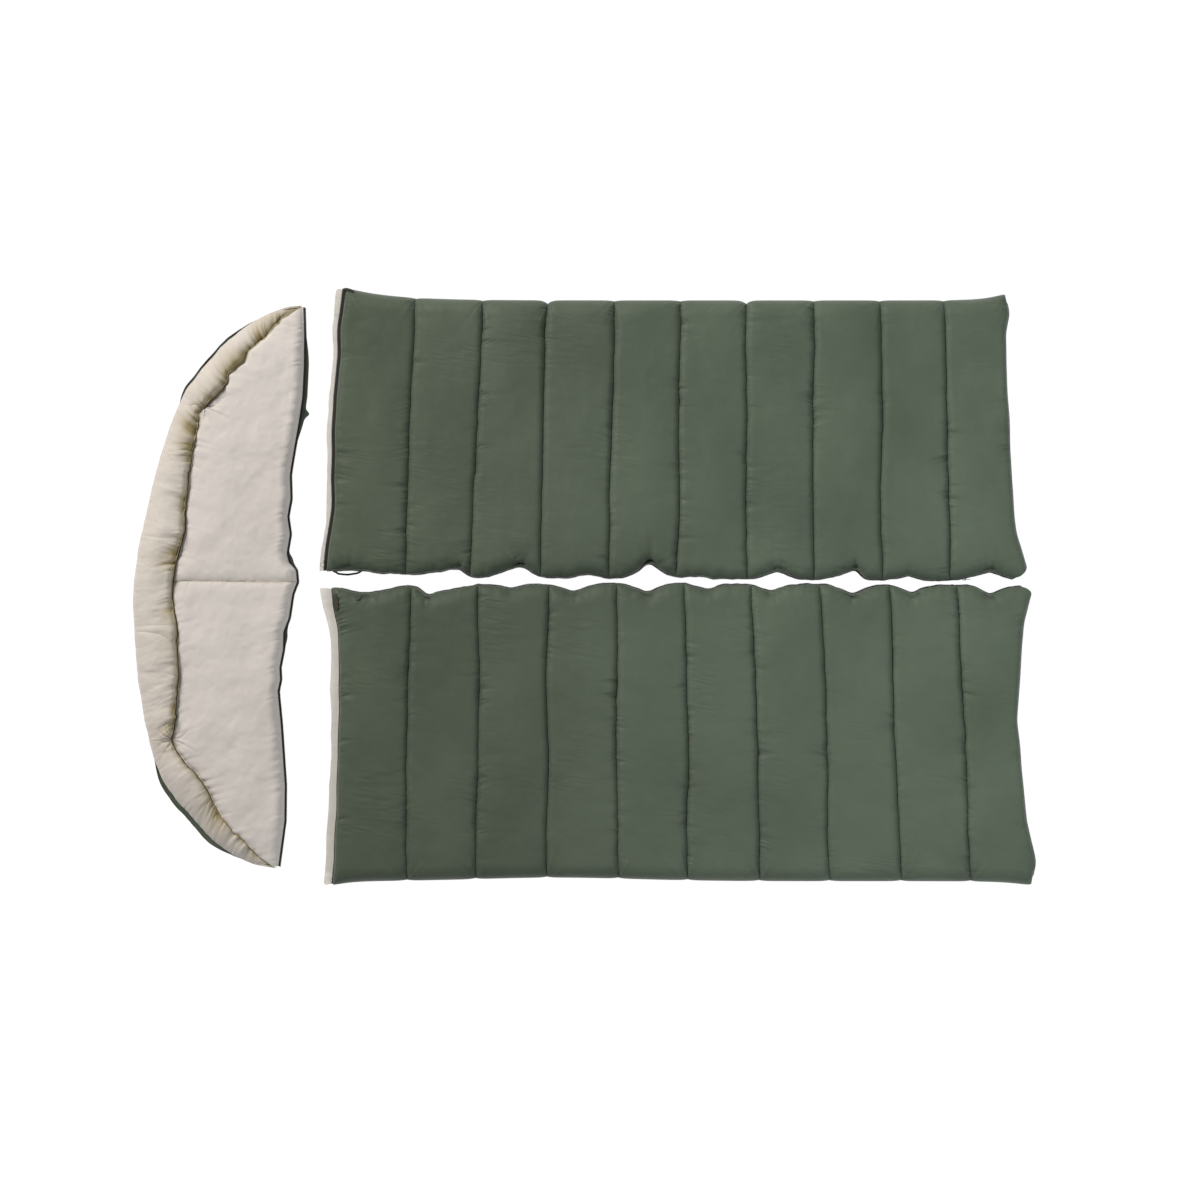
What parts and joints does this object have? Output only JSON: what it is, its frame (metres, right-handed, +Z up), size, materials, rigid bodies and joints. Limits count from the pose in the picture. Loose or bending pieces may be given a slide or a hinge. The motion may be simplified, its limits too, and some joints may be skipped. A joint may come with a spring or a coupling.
{
  "type": "double sleeping bag",
  "caption": "Pair of rectangular quilted sleeping bags with side zips and a shared half-moon hood, laid flat: each bag's cover opens about its fold.",
  "frame": {"origin": "on the floor, under the middle of the whole layout's bounding box", "axes": "+X from the head end to the foot end, +Y from bag b to bag a across the pair, +Z up"},
  "size_m": [2.5091, 1.6033, 0.092],
  "materials": {
    "shell": "matt olive green polyester cloth",
    "lining": "matt cream cotton-like cloth",
    "batting": "white fibre filling",
    "binding": "dark olive woven binding",
    "zip_tape": "black woven zip tape",
    "zip_coil": "black nylon",
    "slider": "dark enamelled metal",
    "pull": "dull antique brass wire"
  },
  "bodies": {
    "bag_a_base": {"bag_a_base_lining": "lining", "bag_a_base_fill": "batting", "bag_a_base_shell": "shell", "bag_a_base_edge_binding": "binding", "bag_a_base_zip_tape": "zip_tape", "bag_a_base_zip_coil": "zip_coil", "bag_a_base_zip_box": "zip_coil", "bag_a_webbing_loop": "zip_tape"},
    "bag_a_cover": {"bag_a_cover_lining": "lining", "bag_a_cover_fill": "batting", "bag_a_cover_shell": "shell", "bag_a_cover_edge_binding": "binding", "bag_a_cover_zip_tape": "zip_tape", "bag_a_cover_zip_coil": "zip_coil", "bag_a_cover_zip_pin": "zip_coil", "bag_a_head_zip_tape": "zip_tape", "bag_a_head_zip_coil": "zip_coil"},
    "bag_a_slider": {"bag_a_slider": "slider"},
    "bag_a_slider_pull": {"bag_a_slider_pull": "pull"},
    "bag_a_head_slider": {"bag_a_head_slider": "slider"},
    "bag_a_head_pull": {"bag_a_head_pull_ring": "pull", "bag_a_head_pull_end_ring": "pull"},
    "bag_b_base": {"bag_b_base_lining": "lining", "bag_b_base_fill": "batting", "bag_b_base_shell": "shell", "bag_b_base_edge_binding": "binding", "bag_b_base_zip_tape": "zip_tape", "bag_b_base_zip_coil": "zip_coil", "bag_b_base_zip_box": "zip_coil"},
    "bag_b_cover": {"bag_b_cover_lining": "lining", "bag_b_cover_fill": "batting", "bag_b_cover_shell": "shell", "bag_b_cover_edge_binding": "binding", "bag_b_cover_zip_tape": "zip_tape", "bag_b_cover_zip_coil": "zip_coil", "bag_b_cover_zip_pin": "zip_coil", "bag_b_corner_tape_end": "binding"},
    "bag_b_slider": {"bag_b_slider": "slider"},
    "bag_b_slider_pull": {"bag_b_slider_pull": "pull"},
    "hood": {"hood_shell": "shell", "hood_edge_piping": "shell", "hood_left_fill": "batting", "hood_right_fill": "batting", "hood_rim_fill": "batting", "hood_left_lining": "lining", "hood_right_lining": "lining", "hood_rim_cover": "lining", "hood_zip_tape": "zip_tape", "hood_zip_coil": "zip_coil"}
  },
  "joints": [
    {"name": "bag_a_open", "type": "hinge", "parent": "bag_a_base", "child": "bag_a_cover", "pos_m": [0, 0.8013, 0.046], "axis": [-1, 0, 0], "range_deg": [0, 180]},
    {"name": "bag_b_join", "type": "slide", "parent": "bag_a_base", "child": "bag_b_base", "axis": [0, 1, 0], "range_m": [0, 0.008]},
    {"name": "bag_b_open", "type": "hinge", "parent": "bag_b_base", "child": "bag_b_cover", "pos_m": [0, -0.802, 0.046], "axis": [1, 0, 0], "range_deg": [0, 180]},
    {"name": "hood_attach", "type": "slide", "parent": "bag_a_base", "child": "hood", "axis": [1, 0, 0], "range_m": [0, 0.06]},
    {"name": "bag_a_zip_slide", "type": "slide", "parent": "bag_a_base", "child": "bag_a_slider", "axis": [-1, 0, 0], "range_m": [-0.125, 1.69]},
    {"name": "bag_a_pull_swing", "type": "hinge", "parent": "bag_a_slider", "child": "bag_a_slider_pull", "pos_m": [1.06, 0.0316, 0.046], "axis": [0, 0, -1], "range_deg": [0, 170]},
    {"name": "bag_a_head_zip_slide", "type": "slide", "parent": "bag_a_cover", "child": "bag_a_head_slider", "axis": [0.055, 0.9985, 0], "range_m": [0, 0.7]},
    {"name": "bag_a_head_pull_swing", "type": "hinge", "parent": "bag_a_head_slider", "child": "bag_a_head_pull", "pos_m": [-0.7051, 0.08471, 0.0556], "axis": [-0.7295, 0.684, 0], "range_deg": [0, 170]},
    {"name": "bag_b_zip_slide", "type": "slide", "parent": "bag_b_base", "child": "bag_b_slider", "axis": [-1, 0, 0], "range_m": [-0.14, 1.69]},
    {"name": "bag_b_pull_swing", "type": "hinge", "parent": "bag_b_slider", "child": "bag_b_slider_pull", "pos_m": [1.0265, 0.0144, 0.046], "axis": [0, 0, 1], "range_deg": [0, 170]}
  ]
}
